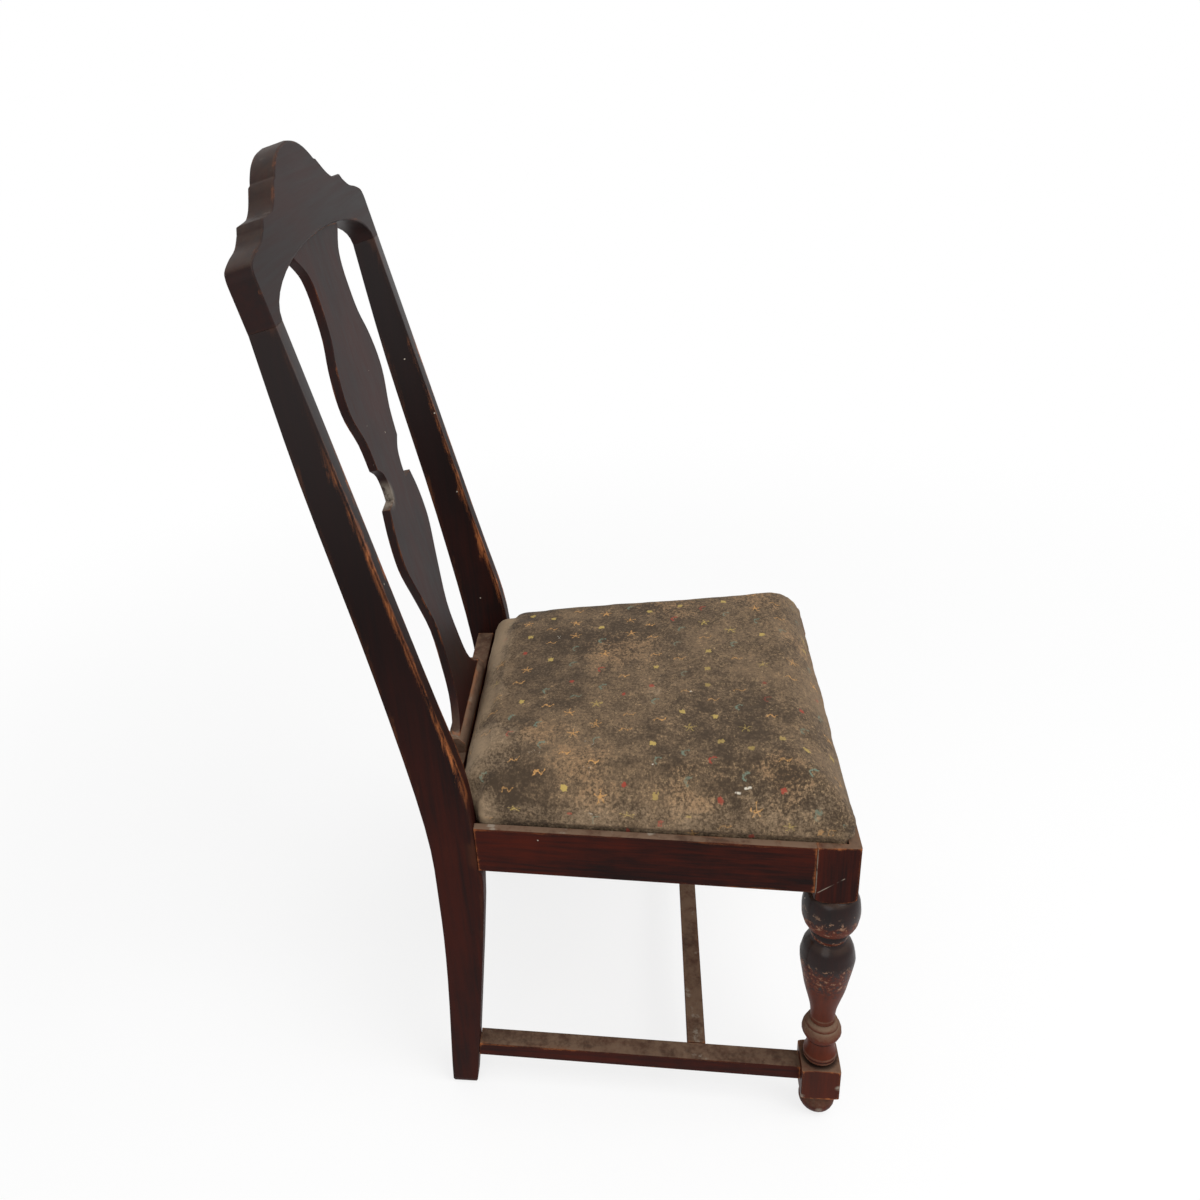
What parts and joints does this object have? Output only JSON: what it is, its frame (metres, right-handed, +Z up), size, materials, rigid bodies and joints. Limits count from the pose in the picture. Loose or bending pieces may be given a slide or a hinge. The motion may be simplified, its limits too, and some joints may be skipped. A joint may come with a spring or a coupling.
{
  "type": "queen anne dining chair",
  "caption": "Wooden dining chair with turned front legs, stretchers, a raked back with a vase splat under a shaped crest, and an upholstered seat that lifts out.",
  "frame": {"origin": "on the floor, under the middle of the chair's overall box", "axes": "+Z up, front of the chair towards -Y, the sitter's left towards +X"},
  "size_m": [0.4816, 0.5837, 1.123],
  "materials": {
    "stained_wood": "worn satin",
    "inner_wood": "bare",
    "cover_cloth": "woven, worn",
    "padding": "loose fibre",
    "jute": "coarse weave",
    "steel": "dull"
  },
  "bodies": {
    "chair_frame": {"front_leg_left": "stained_wood", "front_leg_right": "stained_wood", "rear_post_left": "stained_wood", "rear_post_right": "stained_wood", "front_seat_rail": "stained_wood", "rear_seat_rail": "stained_wood", "side_seat_rail_left": "stained_wood", "side_seat_rail_right": "stained_wood", "crest_rail": "stained_wood", "splat": "stained_wood", "splat_shoe": "stained_wood", "side_stretcher_left": "stained_wood", "side_stretcher_right": "stained_wood", "cross_stretcher": "stained_wood", "corner_block_front_left": "inner_wood", "corner_block_front_right": "inner_wood", "corner_block_rear_left": "inner_wood", "corner_block_rear_right": "inner_wood", "block_screw_front_left_1": "steel", "block_screw_front_left_2": "steel", "block_screw_front_right_1": "steel", "block_screw_front_right_2": "steel", "block_screw_rear_left_1": "steel", "block_screw_rear_left_2": "steel", "block_screw_rear_right_1": "steel", "block_screw_rear_right_2": "steel"},
    "lift_out_seat": {"seat_board_front": "inner_wood", "seat_board_rear": "inner_wood", "seat_board_left": "inner_wood", "seat_board_right": "inner_wood", "webbing_lengthwise_1": "jute", "webbing_lengthwise_2": "jute", "webbing_lengthwise_3": "jute", "webbing_crosswise_1": "jute", "webbing_crosswise_2": "jute", "webbing_crosswise_3": "jute", "seat_burlap": "jute", "seat_stuffing": "padding", "seat_cover": "cover_cloth"}
  },
  "joints": [
    {"name": "seat_lift", "type": "slide", "parent": "chair_frame", "child": "lift_out_seat", "axis": [0, 0, 1], "range_m": [0, 0.12]}
  ]
}
